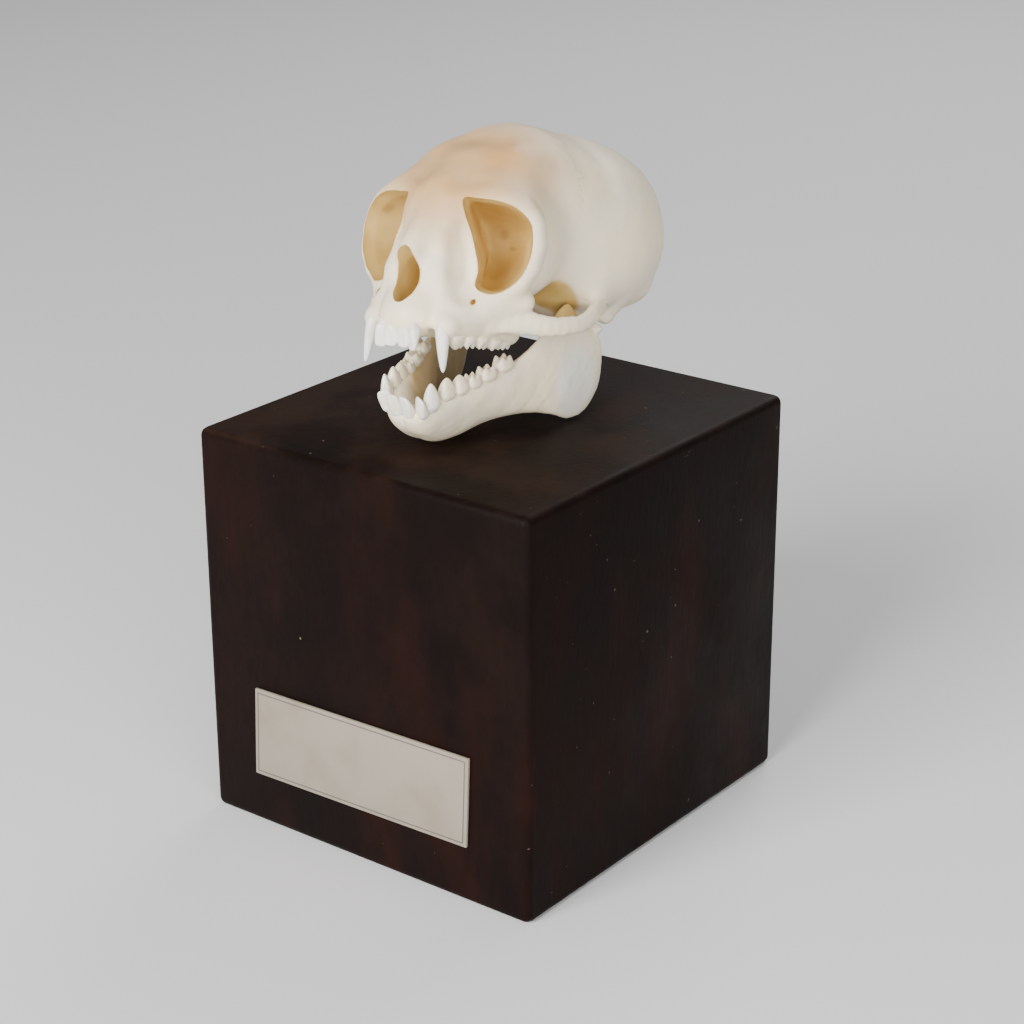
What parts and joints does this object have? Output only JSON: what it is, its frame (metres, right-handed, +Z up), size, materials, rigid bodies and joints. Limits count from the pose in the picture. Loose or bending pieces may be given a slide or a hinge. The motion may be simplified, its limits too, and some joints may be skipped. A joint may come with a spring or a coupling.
{
  "type": "mounted marmoset skull",
  "caption": "Life-size small monkey skull with its jaw open, resting on a dark wooden display block with a blank paper label.",
  "frame": {"origin": "middle of the wooden block's underside", "axes": "+Z up, -Y out of the block's label side and the way that the skull faces, +X to the animal's left"},
  "size_m": [0.047, 0.0516, 0.0805],
  "materials": {
    "bone": "dry, clean bone with a faint silky sheen",
    "wood": "very dark stained wood with a thin worn polish",
    "card": "plain off-white card"
  },
  "bodies": {
    "root": {"base_block": "wood", "label_card": "card", "braincase": "bone", "face": "bone", "cheek_arch_left": "bone", "cheek_arch_right": "bone", "mandible": "bone"}
  },
  "joints": []
}
